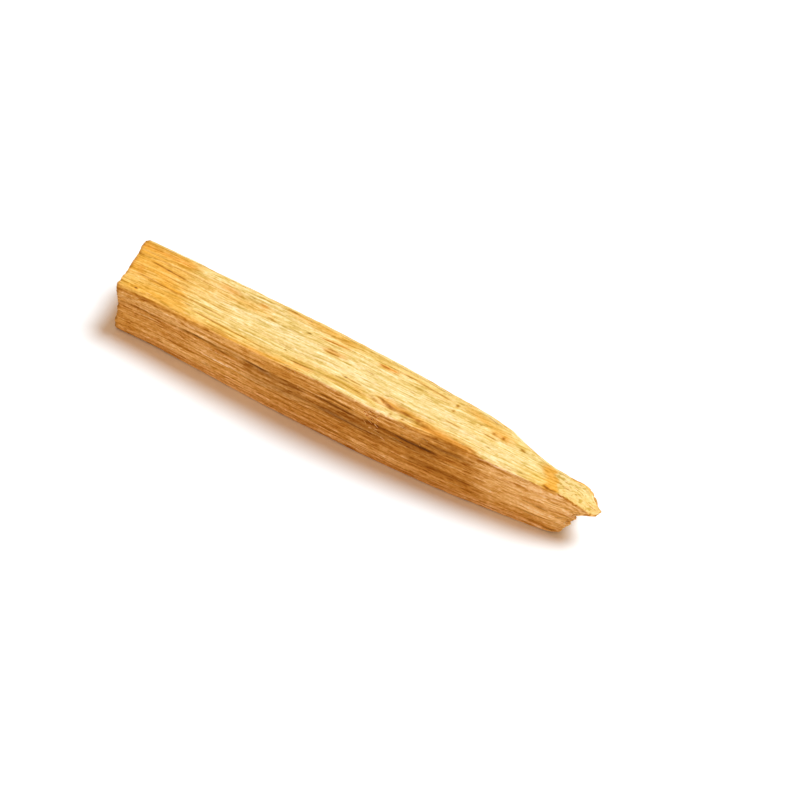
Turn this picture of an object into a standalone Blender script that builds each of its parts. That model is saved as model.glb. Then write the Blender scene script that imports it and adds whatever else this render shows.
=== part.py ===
"""A palo santo stick: one length of wood split from a log, lying on its flat underside.

The far end, at -X, is sawn. The near end, at +X, is torn off: its top slopes down to a tongue, and below the
tongue the fibres break back under it to the underside. Metres, +Z up. The origin is the middle of the
underside of the bounding box.
"""

import math

import bmesh
import bpy
from mathutils import Vector, noise

# Driving dimensions, in metres.
LENGTH = 0.1060
WIDTH = 0.0134  # of the top face at the sawn end
HEIGHT = 0.0136  # of the front face where the stick is thickest

# The outlines along the stick. Each pair is a share of LENGTH from the sawn end, and a share of WIDTH or
# HEIGHT. Plan outlines are measured from the row's centre line, and heights from the underside.
FRONT_OUT = (
    (0.00, -0.498), (0.10, -0.505), (0.20, -0.545), (0.30, -0.582), (0.40, -0.612), (0.50, -0.628),
    (0.60, -0.635), (0.70, -0.627), (0.80, -0.587), (0.90, -0.520), (0.925, -0.505), (0.94, -0.478),
    (0.955, -0.455), (0.97, -0.438), (0.98, -0.425), (0.99, -0.395), (1.00, -0.335),
)
BACK_TOP_OUT = (
    (0.00, 0.600), (0.10, 0.575), (0.20, 0.515), (0.30, 0.442), (0.40, 0.390), (0.50, 0.335),
    (0.60, 0.295), (0.70, 0.222), (0.80, 0.112), (0.812, 0.085), (0.85, -0.015), (0.90, -0.085),
    (0.925, -0.098), (0.94, -0.088), (0.95, -0.068), (0.96, -0.062), (0.97, -0.073), (0.98, -0.118),
    (0.99, -0.178), (1.00, -0.235),
)
BACK_FOOT_OUT = (
    (0.00, 0.620), (0.20, 0.575), (0.40, 0.490), (0.60, 0.445), (0.80, 0.330), (0.90, 0.240),
    (0.94, 0.140), (0.97, -0.010), (1.00, -0.250),
)
RIDGE_UP = (
    (0.00, 0.880), (0.10, 0.905), (0.20, 0.925), (0.30, 0.955), (0.40, 0.985), (0.47, 1.010),
    (0.55, 0.980), (0.62, 0.955), (0.70, 0.965), (0.76, 0.952), (0.82, 0.900), (0.90, 0.830),
    (0.925, 0.815), (0.935, 0.802), (0.946, 0.775), (0.96, 0.722), (0.978, 0.655), (0.99, 0.592),
    (1.00, 0.555),
)
BACK_TOP_UP = (
    (0.00, 0.835), (0.10, 0.862), (0.20, 0.890), (0.30, 0.920), (0.40, 0.950), (0.50, 0.965),
    (0.60, 0.930), (0.70, 0.930), (0.80, 0.905), (0.90, 0.815), (0.928, 0.800), (0.96, 0.695),
    (0.98, 0.620), (0.99, 0.585), (1.00, 0.548),
)
UNDERSIDE_UP = (
    (0.00, 0.000), (0.890, 0.000), (0.905, 0.000), (0.916, 0.020), (0.928, 0.050), (0.940, 0.105),
    (0.950, 0.215), (0.959, 0.345), (0.969, 0.455), (0.979, 0.505), (0.99, 0.520), (1.00, 0.525),
)
# The radii of the long edges, as shares of WIDTH. The ridge is worn rounder at the sawn end and near the tear.
FRONT_FOOT_RADIUS = 0.035
RIDGE_RADIUS = (
    (0.00, 0.120), (0.15, 0.105), (0.32, 0.050), (0.62, 0.045), (0.70, 0.095), (0.76, 0.095),
    (0.83, 0.050), (1.00, 0.040),
)
BACK_TOP_RADIUS = 0.060
BACK_FOOT_RADIUS = 0.055

# The sawn end runs a little oblique, with a low swelling at its front foot, another at its back, where the
# corner is worn, and chips along its edge.
SAW_SKEW = 0.0026
SAW_SWELL = 0.0010
SAW_BULGE = 0.00045
SAW_CORNER = 0.0008
SAW_CHIPS = 0.0003
SAW_CHIP_SIZE = 0.0022
SAW_REACH = 0.09  # share of LENGTH over which the body's rings turn to meet the saw cut

# The torn end: bundles of fibres break at different lengths.
TEAR_START = 0.88
TEAR_LENGTH = 0.0012
TEAR_EVEN = 0.5  # how much more evenly the upper side broke
TONGUE_EVEN = 0.65  # and the tongue's end
TONGUE_UP = (0.40, 0.54)  # shares of HEIGHT between which the tongue begins
BUNDLE = 0.0019

# The grain: low ridges and grooves that run along the stick.
GRAIN_DEPTH = 0.00030
GRAIN_ACROSS = 0.0019
GRAIN_ALONG = 0.034

# A sliver split off along the ridge. Its bed is a lower strip of the top face, and the rest of the top face
# stands above it in a small step. The outline is the step's distance from the ridge, as a share of WIDTH.
LEDGE_AWAY = (
    (0.535, 0.200), (0.565, 0.190), (0.594, 0.170), (0.621, 0.130), (0.645, 0.110), (0.672, 0.090),
    (0.70, 0.075),
)
LEDGE_FADE = 0.030  # share of LENGTH over which the step rises and sinks
LEDGE_HEIGHT = 0.00045
LEDGE_STEEP = 0.00018  # half the width of the step's slope
LEDGE_SHOULDER = 0.0060  # how far from the step the raised wood settles back

# A crease in the front face, where two layers of the wood meet. The outline is its share of the face's height.
CREASE_UP = (
    (0.00, 0.660), (0.03, 0.700), (0.12, 0.680), (0.20, 0.720), (0.35, 0.690), (0.45, 0.675),
    (0.56, 0.670), (0.64, 0.665), (0.80, 0.700),
)
CREASE_SPAN = (0.62, 0.80)  # shares of LENGTH between which it fades out
CREASE_DEPTH = 0.00035
CREASE_HALF_WIDTH = 0.0009

# How finely the surface is divided.
RINGS = 66
SIDE_POINTS = (13, 18, 9, 7)  # front, top, back, underside
EDGE_POINTS = 3
CAP_RINGS = 5
NEAR_RING_PULL = 1.35  # draws the rings together towards the torn end

WOOD_COLOUR = (0.80, 0.50, 0.17, 1.0)
WOOD_ROUGHNESS = 0.62


def smoothstep(low, high, value):
    """0 below low, 1 above high, and a smooth rise between them."""
    share = min(1.0, max(0.0, (value - low) / (high - low)))
    return share * share * (3.0 - 2.0 * share)


def along(outline, share):
    """The outline's value at a share of LENGTH, on a smooth curve through its points."""
    last = len(outline) - 1
    right = next((i for i, point in enumerate(outline) if point[0] >= share), last)
    right = max(1, right)
    (x0, y0), (x1, y1) = outline[right - 1], outline[right]
    before = outline[max(0, right - 2)]
    after = outline[min(last, right + 1)]
    slope_0 = (y1 - before[1]) / (x1 - before[0])
    slope_1 = (after[1] - y0) / (after[0] - x0)
    width = x1 - x0
    t = min(1.0, max(0.0, (share - x0) / width))
    return (
        (2 * t**3 - 3 * t**2 + 1) * y0
        + (t**3 - 2 * t**2 + t) * width * slope_0
        + (3 * t**2 - 2 * t**3) * y1
        + (t**3 - t**2) * width * slope_1
    )


def corners_at(share):
    """The cross-section's corners as (y, z), from the front foot up and round."""
    foot = max(0.0, along(UNDERSIDE_UP, share) * HEIGHT)
    return (
        Vector((along(FRONT_OUT, share) * WIDTH, foot)),
        Vector((along(FRONT_OUT, share) * WIDTH, along(RIDGE_UP, share) * HEIGHT)),
        Vector((along(BACK_TOP_OUT, share) * WIDTH, along(BACK_TOP_UP, share) * HEIGHT)),
        Vector((along(BACK_FOOT_OUT, share) * WIDTH, foot)),
    )


def radii_at(share):
    """The radius of each long edge at a share of LENGTH."""
    ridge = along(RIDGE_RADIUS, share)
    return [WIDTH * radius for radius in (FRONT_FOOT_RADIUS, ridge, BACK_TOP_RADIUS, BACK_FOOT_RADIUS)]


def outline_at(share):
    """The cross-section at a share of LENGTH: (y, z, side) points with rounded corners."""
    corners, radii = corners_at(share), radii_at(share)
    points = []
    for side in range(4):
        here, ahead = corners[side], corners[(side + 1) % 4]
        behind = corners[side - 1]
        edge = (ahead - here).length
        cut = min(radii[side], 0.4 * edge, 0.4 * (here - behind).length)
        cut_ahead = min(radii[(side + 1) % 4], 0.4 * edge, 0.4 * (corners[(side + 2) % 4] - ahead).length)
        start = here + (behind - here).normalized() * cut
        finish = here + (ahead - here).normalized() * cut
        for step in range(1, EDGE_POINTS + 1):
            t = step / (EDGE_POINTS + 1)
            point = start * (1 - t) ** 2 + here * 2 * t * (1 - t) + finish * t**2
            points.append((point, side))
        far = ahead + (here - ahead).normalized() * cut_ahead
        for step in range(SIDE_POINTS[side]):
            t = step / (SIDE_POINTS[side] - 1)
            points.append((finish.lerp(far, t), side))
    return points


def normals_of(points):
    """The outward normal of the cross-section at each of its points."""
    count = len(points)
    found = []
    for i in range(count):
        chord = points[(i + 1) % count][0] - points[i - 1][0]
        found.append(Vector((-chord.y, chord.x)).normalized())
    return found


def grain_relief(x, point):
    """How far the grain's ridges stand out at a point of the surface."""
    place = Vector((x / GRAIN_ALONG, point.x / GRAIN_ACROSS, point.y / GRAIN_ACROSS))
    return GRAIN_DEPTH * noise.noise(place)


def ledge_relief(share, point, corners):
    """How far the top face stands above the bed of the lost sliver, beyond the step beside the ridge."""
    first, last = LEDGE_AWAY[0][0], LEDGE_AWAY[-1][0]
    lengthwise = smoothstep(first, first + LEDGE_FADE, share)
    lengthwise *= 1.0 - smoothstep(last - LEDGE_FADE, last, share)
    beyond = point.x - corners[1].x - along(LEDGE_AWAY, share) * WIDTH
    sideways = smoothstep(-LEDGE_STEEP, LEDGE_STEEP, beyond)
    sideways *= 1.0 - smoothstep(0.2 * LEDGE_SHOULDER, LEDGE_SHOULDER, beyond)
    return LEDGE_HEIGHT * lengthwise * sideways


def crease_relief(share, point, corners):
    """How far the front face dips along its crease."""
    fade = 1.0 - smoothstep(*CREASE_SPAN, share)
    foot, ridge = corners[0].y, corners[1].y
    away = point.y - (foot + along(CREASE_UP, share) * (ridge - foot))
    return -CREASE_DEPTH * fade * math.exp(-((away / CREASE_HALF_WIDTH) ** 2))


def saw_offset(point):
    """How far inside the stick's far limit the saw cut lies, at (y, z)."""
    across = min(1.0, max(0.0, 0.5 - point.x / WIDTH))
    swell = smoothstep(0.45, 1.0, across) * (1.0 - smoothstep(0.05, 0.60, point.y / HEIGHT))
    chips = SAW_CHIPS * noise.noise(Vector((3.7, point.x / SAW_CHIP_SIZE, point.y / SAW_CHIP_SIZE)))
    bulge = SAW_BULGE * smoothstep(0.25, 0.50, point.x / WIDTH)
    corner = SAW_CORNER * smoothstep(0.53, 0.60, point.x / WIDTH)
    return SAW_SKEW * across - SAW_SWELL * swell - bulge + corner + chips


def tear_offset(point, normal):
    """How much longer or shorter the bundle of fibres at (y, z) broke off."""
    even = max(
        TEAR_EVEN * smoothstep(0.3, 0.8, normal.y),
        TONGUE_EVEN * smoothstep(*TONGUE_UP, point.y / HEIGHT),
    )
    return TEAR_LENGTH * (1.0 - even) * noise.noise(Vector((9.1, point.x / BUNDLE, point.y / BUNDLE)))


def surface_point(share, point, normal, side, corners):
    """The place of one point of the body, with its relief and the form of both ends."""
    x = (share - 0.5) * LENGTH
    relief = grain_relief(x, point)
    if side == 0:
        relief += crease_relief(share, point, corners)
    if side == 1:
        relief += ledge_relief(share, point, corners)
    underside = side == 3 and share < TEAR_START
    raised = point if underside else point + normal * relief
    near_saw = 1.0 - smoothstep(0.0, SAW_REACH, share)
    near_tear = smoothstep(TEAR_START, 0.97, share)
    x += near_saw * saw_offset(point) + near_tear * tear_offset(point, normal)
    return Vector((x, raised.x, max(0.0, raised.y)))


def body_rings():
    """The rings of the body, from the sawn end to the torn one."""
    rings = []
    for i in range(RINGS + 1):
        even = i / RINGS
        share = 1.0 - (1.0 - even) ** NEAR_RING_PULL
        points, corners = outline_at(share), corners_at(share)
        normals = normals_of(points)
        ring = [
            surface_point(share, point, normal, side, corners)
            for (point, side), normal in zip(points, normals)
        ]
        rings.append(ring)
    return rings


def saw_cut_rings():
    """The rings of the sawn end, from near its middle out towards the body's first ring."""
    outline = [point for point, side in outline_at(0.0)]
    middle = sum(outline, Vector((0.0, 0.0))) / len(outline)
    rings = []
    for i in range(1, CAP_RINGS):
        ring = []
        for point in outline:
            place = middle.lerp(point, i / CAP_RINGS)
            ring.append(Vector((saw_offset(place) - 0.5 * LENGTH, place.x, place.y)))
        rings.append(ring)
    return Vector((saw_offset(middle) - 0.5 * LENGTH, middle.x, middle.y)), rings


def bridge(mesh, first, second):
    """Quads between two rings of vertices."""
    count = len(first)
    for i in range(count):
        ahead = (i + 1) % count
        mesh.faces.new((first[i], first[ahead], second[ahead], second[i]))


def close_with_fan(mesh, ring, centre, outward):
    """Triangles from a ring to one point. outward is True at the torn end."""
    count = len(ring)
    for i in range(count):
        pair = (ring[i], ring[(i + 1) % count])
        mesh.faces.new((*(pair if outward else reversed(pair)), centre))


def stick_mesh():
    """The whole stick as one closed surface."""
    mesh = bmesh.new()
    middle, cap = saw_cut_rings()
    rings = [[mesh.verts.new(point) for point in ring] for ring in cap + body_rings()]
    for first, second in zip(rings, rings[1:]):
        bridge(mesh, first, second)
    close_with_fan(mesh, rings[0], mesh.verts.new(middle), outward=False)
    tip = sum((vertex.co for vertex in rings[-1]), Vector()) / len(rings[-1])
    close_with_fan(mesh, rings[-1], mesh.verts.new(tip), outward=True)
    bmesh.ops.recalc_face_normals(mesh, faces=mesh.faces)
    centre_on_origin(mesh)
    return mesh


def centre_on_origin(mesh):
    """Moves the mesh so that the middle of its bounding box's underside is the origin."""
    lows = Vector([min(vertex.co[axis] for vertex in mesh.verts) for axis in range(3)])
    highs = Vector([max(vertex.co[axis] for vertex in mesh.verts) for axis in range(3)])
    middle = (lows + highs) / 2
    bmesh.ops.translate(mesh, verts=mesh.verts, vec=(-middle.x, -middle.y, -lows.z))


def wood_material():
    material = bpy.data.materials.new("split_wood")
    material.use_nodes = True
    shader = material.node_tree.nodes["Principled BSDF"]
    shader.inputs["Base Color"].default_value = WOOD_COLOUR
    shader.inputs["Roughness"].default_value = WOOD_ROUGHNESS
    shader.inputs["Metallic"].default_value = 0.0
    return material


def main():
    for obj in list(bpy.data.objects):
        bpy.data.objects.remove(obj)
    data = bpy.data.meshes.new("stick")
    mesh = stick_mesh()
    mesh.to_mesh(data)
    mesh.free()
    data.materials.append(wood_material())
    stick = bpy.data.objects.new("stick", data)
    bpy.context.scene.collection.objects.link(stick)


main()
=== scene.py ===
"""Looks of the palo santo stick: its fine surface, loose fibres, wood, floor, light and camera."""

import math
import random

import bpy
import numpy as np
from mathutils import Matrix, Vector, noise


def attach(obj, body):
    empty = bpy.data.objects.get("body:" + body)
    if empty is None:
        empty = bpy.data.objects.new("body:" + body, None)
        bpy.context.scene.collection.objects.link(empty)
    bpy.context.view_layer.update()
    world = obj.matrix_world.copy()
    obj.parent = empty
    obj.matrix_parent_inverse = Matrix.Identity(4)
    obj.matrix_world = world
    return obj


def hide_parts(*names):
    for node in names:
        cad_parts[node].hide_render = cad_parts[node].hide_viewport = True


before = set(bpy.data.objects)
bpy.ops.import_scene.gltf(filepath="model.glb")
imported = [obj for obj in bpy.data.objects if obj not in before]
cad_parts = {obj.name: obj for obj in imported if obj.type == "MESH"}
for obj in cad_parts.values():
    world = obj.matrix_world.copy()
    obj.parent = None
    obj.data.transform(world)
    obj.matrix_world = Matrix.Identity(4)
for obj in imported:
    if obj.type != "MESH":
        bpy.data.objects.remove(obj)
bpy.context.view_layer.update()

# The solid's driving dimensions and outlines, in metres and in shares of them.
LENGTH = 0.1060
WIDTH = 0.0134
HEIGHT = 0.0136
RAW_MIDDLE = Vector((-0.0002900, -0.0001847, 0.0))  # the outlines' own middle, moved to the origin

FRONT_OUT = (
    (0.0, -0.498), (0.1, -0.505), (0.2, -0.545), (0.3, -0.582), (0.4, -0.612), (0.5, -0.628),
    (0.6, -0.635), (0.7, -0.627), (0.8, -0.587), (0.9, -0.52), (0.925, -0.505), (0.94, -0.478),
    (0.955, -0.455), (0.97, -0.438), (0.98, -0.425), (0.99, -0.395), (1.0, -0.335),
)
BACK_TOP_OUT = (
    (0.0, 0.6), (0.1, 0.575), (0.2, 0.515), (0.3, 0.442), (0.4, 0.39), (0.5, 0.335),
    (0.6, 0.295), (0.7, 0.222), (0.8, 0.112), (0.812, 0.085), (0.85, -0.015), (0.9, -0.085),
    (0.925, -0.098), (0.94, -0.088), (0.95, -0.068), (0.96, -0.062), (0.97, -0.073), (0.98, -0.118),
    (0.99, -0.178), (1.0, -0.235),
)
BACK_FOOT_OUT = (
    (0.0, 0.62), (0.2, 0.575), (0.4, 0.49), (0.6, 0.445), (0.8, 0.33), (0.9, 0.24),
    (0.94, 0.14), (0.97, -0.01), (1.0, -0.25),
)
RIDGE_UP = (
    (0.0, 0.88), (0.1, 0.905), (0.2, 0.925), (0.3, 0.955), (0.4, 0.985), (0.47, 1.01),
    (0.55, 0.98), (0.62, 0.955), (0.7, 0.965), (0.76, 0.952), (0.82, 0.9), (0.9, 0.83),
    (0.925, 0.815), (0.935, 0.802), (0.946, 0.775), (0.96, 0.722), (0.978, 0.655), (0.99, 0.592),
    (1.0, 0.555),
)
BACK_TOP_UP = (
    (0.0, 0.835), (0.1, 0.862), (0.2, 0.89), (0.3, 0.92), (0.4, 0.95), (0.5, 0.965),
    (0.6, 0.93), (0.7, 0.93), (0.8, 0.905), (0.9, 0.815), (0.928, 0.8), (0.96, 0.695),
    (0.98, 0.62), (0.99, 0.585), (1.0, 0.548),
)
UNDERSIDE_UP = (
    (0.0, 0.0), (0.89, 0.0), (0.905, 0.0), (0.916, 0.02), (0.928, 0.05), (0.94, 0.105),
    (0.95, 0.215), (0.959, 0.345), (0.969, 0.455), (0.979, 0.505), (0.99, 0.52), (1.0, 0.525),
)
FRONT_FOOT_RADIUS = 0.030
RIDGE_RADIUS = (
    (0.0, 0.12), (0.15, 0.105), (0.32, 0.04), (0.62, 0.035), (0.7, 0.09), (0.76, 0.09),
    (0.83, 0.045), (1.0, 0.04),
)
BACK_TOP_RADIUS = 0.050
BACK_FOOT_RADIUS = 0.045

SAW_SKEW = 0.0026
SAW_SWELL = 0.0010
SAW_BULGE = 0.00045
SAW_CORNER = 0.0008
SAW_CHIPS = 0.0003
SAW_CHIP_SIZE = 0.0022
SAW_REACH = 0.09
TEAR_START = 0.88
TEAR_LENGTH = 0.0012
TEAR_EVEN = 0.5
TONGUE_EVEN = 0.65
TONGUE_UP = (0.4, 0.54)
BUNDLE = 0.0019
GRAIN_DEPTH = 0.00030
GRAIN_ACROSS = 0.0019
GRAIN_ALONG = 0.034
LEDGE_AWAY = (
    (0.535, 0.2), (0.565, 0.19), (0.594, 0.17), (0.621, 0.13), (0.645, 0.11), (0.672, 0.09),
    (0.7, 0.075),
)
LEDGE_FADE = 0.030
LEDGE_HEIGHT = 0.00045
LEDGE_STEEP = 0.00013
LEDGE_SHOULDER = 0.0060
CREASE_UP = (
    (0.0, 0.66), (0.03, 0.7), (0.12, 0.68), (0.2, 0.72), (0.35, 0.69), (0.45, 0.675),
    (0.56, 0.67), (0.64, 0.665), (0.8, 0.7),
)
CREASE_SPAN = (0.62, 0.8)
CREASE_DEPTH = 0.00035
CREASE_HALF_WIDTH = 0.0008

# How finely the visible surface is divided.
SIDE_POINTS = (96, 112, 66, 56)  # front, top, back, underside
EDGE_POINTS = (8, 14, 10, 6)
CAP_RINGS = 14
RING_STEPS = ((0.014, 0.0024), (0.880, 0.0047), (1.000, 0.0019))  # up to this share, with this spacing

EDGE_LIMIT = 0.4  # the most of a side that a rounded edge takes up

# The fine relief, in metres. A size is how long and how wide the marks are.
GROOVE_DEPTH = 0.00012
GROOVE_SIZE = (0.019, 0.0010)
GROOVE_PATCH = (0.016, 0.003)  # the places with more or fewer grooves
FINE_DEPTH = 0.00006
FINE_SIZE = (0.0100, 0.00050)
ROUGH_DEPTH = 0.00005
ROUGH_SIZE = (0.0013, 0.00055)
PORE_DEPTH = 0.00008
PORE_SIZE = (0.0036, 0.00038)
EDGE_CHIPS = 0.00012  # along the ridge and the back edge
EDGE_CHIP_LENGTH = 0.0032
EDGE_CHIP_REACH = 0.0007
SPLINTER = 0.0007  # how unevenly the torn end's bundles break
SAW_ROUGHNESS = 0.00005
FIBRE_END = 0.00030
SCRATCH_SIZE = (0.02, 0.00042)
SCRATCH_SLANT = 0.35
CRUMB_DEPTH = 0.0005  # along the sawn end's edge
CRUMB_SIZE = 0.0011
CRUMB_REACH = 0.0006
SINGE_REACH = 0.00042  # a thin brown line along the same edge
TEAR_WANDER = 0.0004
TEAR_WANDER_SIZE = 0.0012
TORN_STRAND = (0.00085, 0.00062)
TORN_FIBRE = (0.00036, 0.00030)

# How the fibres run: they follow the faces, and wander a little.
BOW_START = 0.6  # share of WIDTH
RISE_START = 0.95  # share of HEIGHT
WANDER = 0.0005
WANDER_LENGTH = 0.045

# Where the torn end's parts begin, as shares of LENGTH, and how much some faces look like a side face.
UNDERSIDE_END = 0.93
BREAK_SPAN = (0.94, 0.99)
BEVEL_START = 0.937
BEVEL_SLANT = 0.033
BEVEL_EDGE = 0.004
BAND_SPAN = (-0.036, -0.016)  # of the orange band, before the bevel
UNDERSIDE_LOOK = 0.35
BREAK_LOOK = 0.6
CAP_LOOK = 0.4

FRONT, TOP, BACK, UNDER = range(4)

# Where the wood's colour changes, by face and tint, and where some streaks paint shade or bounced light. A
# streak has half its width in millimetres, its strength, and its line's points: share of LENGTH, and share
# across from the face's foot or the ridge.
STREAKS = {}
STREAKS[TOP, "pale"] = (
    (2.0, 0.4, (0.17, 0.56), (0.35, 0.53)),
    (2.0, 0.7, (0.31, 0.55), (0.4, 0.46), (0.52, 0.43), (0.61, 0.44), (0.7, 0.4), (0.82, 0.25),
        (0.88, 0.22)),
    (1.4, 0.75, (0.48, 0.56), (0.57, 0.56), (0.64, 0.56), (0.7, 0.52), (0.74, 0.48)),
    (0.5, 0.8, (0.45, 0.05), (0.6, 0.05), (0.63, 0.04)),
    (0.8, 0.9, (0.575, 0.125), (0.61, 0.105), (0.64, 0.075), (0.655, 0.06)),
    (0.8, 0.45, (0.31, 0.14), (0.37, 0.135)),
    (0.6, 0.6, (0.29, 0.62), (0.34, 0.62)),
)
STREAKS[TOP, "gold"] = (
    (4.2, 0.85, (0.0, 0.58), (0.06, 0.48), (0.11, 0.34), (0.17, 0.2)),
    (3.4, 0.9, (0.0, 0.85), (0.08, 0.85), (0.14, 0.8)),
    (2.2, 0.7, (0.0, 0.12), (0.1, 0.11), (0.18, 0.08)),
    (0.7, 0.8, (0.14, 0.05), (0.3, 0.045), (0.44, 0.045)),
    (1.5, 0.35, (0.12, 0.6), (0.19, 0.59), (0.26, 0.57)),
    (1.3, 0.5, (0.12, 0.76), (0.2, 0.75), (0.26, 0.74), (0.32, 0.75)),
    (1.2, 0.6, (0.32, 0.93), (0.4, 0.94), (0.5, 0.92)),
    (1.0, 0.6, (0.7, 0.95), (0.78, 0.8), (0.83, 0.7)),
    (1.3, 0.12, (0.38, 0.2), (0.47, 0.14), (0.56, 0.14)),
    (1.6, 0.6, (0.95, 0.1), (0.97, 0.12), (1.0, 0.35)),
    (0.6, 0.5, (0.52, 0.23), (0.545, 0.2)),
)
STREAKS[TOP, "orange"] = (
    (0.75, 0.75, (0.0, 0.9), (0.05, 0.87), (0.09, 0.86), (0.125, 0.86)),
    (0.2, 0.6, (0.058, 0.858), (0.085, 0.853), (0.112, 0.85)),
    (0.65, 0.65, (0.18, 0.82), (0.205, 0.81), (0.232, 0.8)),
    (0.35, 0.6, (0.268, 0.825), (0.292, 0.82)),
    (1.1, 0.55, (0.015, 0.55), (0.035, 0.42)),
    (0.45, 0.6, (0.215, 0.06), (0.245, 0.09), (0.275, 0.05)),
    (0.45, 0.6, (0.3, 0.03), (0.36, 0.02)),
    (0.7, 0.65, (0.4, 0.14), (0.425, 0.13), (0.45, 0.13)),
    (0.3, 0.7, (0.405, 0.745), (0.44, 0.765), (0.478, 0.785)),
    (0.55, 0.55, (0.424, 0.6), (0.452, 0.6), (0.484, 0.6)),
    (0.38, 0.8, (0.528, 0.805), (0.552, 0.815), (0.576, 0.83)),
    (0.75, 0.65, (0.568, 0.245), (0.593, 0.22), (0.621, 0.2), (0.645, 0.185), (0.67, 0.15),
        (0.7, 0.115), (0.765, 0.08), (0.79, 0.03)),
    (0.5, 0.4, (0.622, 0.03), (0.655, 0.04), (0.68, 0.05)),
    (0.95, 0.8, (0.664, 0.085), (0.71, 0.07), (0.745, 0.05), (0.775, 0.02)),
    (0.9, 0.55, (0.775, 0.68), (0.8, 0.7), (0.818, 0.7)),
    (0.7, 0.2, (0.988, 0.45), (1.0, 0.45)),
)
STREAKS[TOP, "brown"] = (
    (0.17, 0.6, (0.034, 0.66), (0.08, 0.63), (0.128, 0.61)),
    (0.17, 0.45, (0.02, 0.385), (0.062, 0.368), (0.118, 0.325), (0.177, 0.335), (0.245, 0.305)),
    (0.14, 0.45, (0.178, 0.185), (0.26, 0.165), (0.36, 0.13)),
    (0.13, 0.45, (0.165, 0.45), (0.205, 0.445), (0.245, 0.44)),
    (0.14, 0.45, (0.3, 0.68), (0.315, 0.66), (0.325, 0.65)),
    (0.14, 0.5, (0.32, 0.945), (0.349, 0.95)),
    (0.15, 0.6, (0.418, 0.752), (0.436, 0.762), (0.452, 0.768)),
    (0.15, 0.6, (0.43, 0.575), (0.45, 0.572), (0.47, 0.575)),
    (0.15, 0.45, (0.436, 0.625), (0.458, 0.625)),
    (0.2, 0.75, (0.533, 0.805), (0.545, 0.808), (0.556, 0.812)),
    (0.14, 0.5, (0.575, 0.885), (0.63, 0.865), (0.685, 0.84)),
    (0.14, 0.5, (0.49, 0.295), (0.538, 0.29)),
    (0.14, 0.3, (0.463, 0.155), (0.562, 0.15)),
    # This streak and the next four run along the ledge's step: partly the red-brown of its torn fibres,
    # partly painted shade on the step.
    (0.2, 0.35, (0.57, 0.24), (0.59, 0.215), (0.605, 0.185), (0.63, 0.185), (0.65, 0.165),
        (0.672, 0.14), (0.7, 0.105)),
    (0.2, 0.3, (0.574, 0.238), (0.58, 0.235), (0.588, 0.232)),
    (0.34, 0.5, (0.594, 0.195), (0.604, 0.18), (0.614, 0.172)),
    (0.34, 0.55, (0.618, 0.19), (0.632, 0.182), (0.648, 0.168)),
    (0.32, 0.6, (0.655, 0.16), (0.662, 0.15), (0.668, 0.14)),
    (0.55, 0.5, (0.69, 0.03), (0.72, 0.02), (0.76, 0.0)),
    (0.13, 0.55, (0.752, 0.115), (0.77, 0.085), (0.786, 0.03)),
    (0.26, 0.8, (0.611, 0.07), (0.616, 0.07)),
    (0.26, 0.8, (0.634, 0.07), (0.64, 0.07)),
    (0.22, 0.7, (0.693, 0.83), (0.699, 0.82)),
    (0.24, 0.6, (0.692, 0.69), (0.698, 0.68)),
    (0.28, 0.8, (0.78, 0.685), (0.786, 0.68)),
    (0.26, 0.8, (0.797, 0.698), (0.803, 0.697)),
    (0.15, 0.55, (0.762, 0.56), (0.794, 0.555)),
    (0.14, 0.5, (0.692, 0.42), (0.736, 0.41)),
    (0.2, 0.6, (0.833, 0.755), (0.846, 0.76)),
    (0.2, 0.75, (0.903, 0.12), (0.911, 0.08), (0.919, 0.07)),
    (0.15, 0.5, (0.917, 0.05), (0.924, 0.06), (0.931, 0.07)),
)
STREAKS[TOP, "dark"] = (
    (0.13, 0.6, (0.074, 0.632), (0.088, 0.628)),
    (0.17, 0.8, (0.043, 0.128), (0.058, 0.115)),
    (0.22, 0.85, (0.385, 0.718), (0.3915, 0.722)),
    (0.17, 0.65, (0.5, 0.295), (0.5045, 0.295)),
    (0.15, 0.5, (0.373, 0.282), (0.3775, 0.282)),
    (0.18, 0.5, (0.749, 0.705), (0.754, 0.7)),
    (0.14, 0.45, (0.785, 0.317), (0.792, 0.315)),
)
STREAKS[FRONT, "pale"] = (
    (0.15, 0.7, (0.213, 0.435), (0.29, 0.43), (0.37, 0.41)),
    (0.25, 0.5, (0.213, 0.27), (0.234, 0.235)),
    (0.14, 0.6, (0.192, 0.775), (0.235, 0.765)),
    (0.13, 0.5, (0.42, 0.71), (0.49, 0.7)),
    (0.14, 0.5, (0.06, 0.6), (0.12, 0.595)),
)
STREAKS[FRONT, "gold"] = (
    (1.5, 0.4, (0.0, 0.93), (0.08, 0.92), (0.15, 0.93)),
    (2.6, 0.9, (0.0, 0.22), (0.1, 0.25), (0.2, 0.22), (0.32, 0.18)),
    (1.2, 0.6, (0.24, 0.95), (0.34, 0.96), (0.45, 0.95)),
    (1.2, 0.6, (0.46, 0.14), (0.56, 0.12), (0.66, 0.15)),
    (1.6, 0.6, (0.8, 0.15), (0.88, 0.2), (0.94, 0.22)),
)
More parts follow.
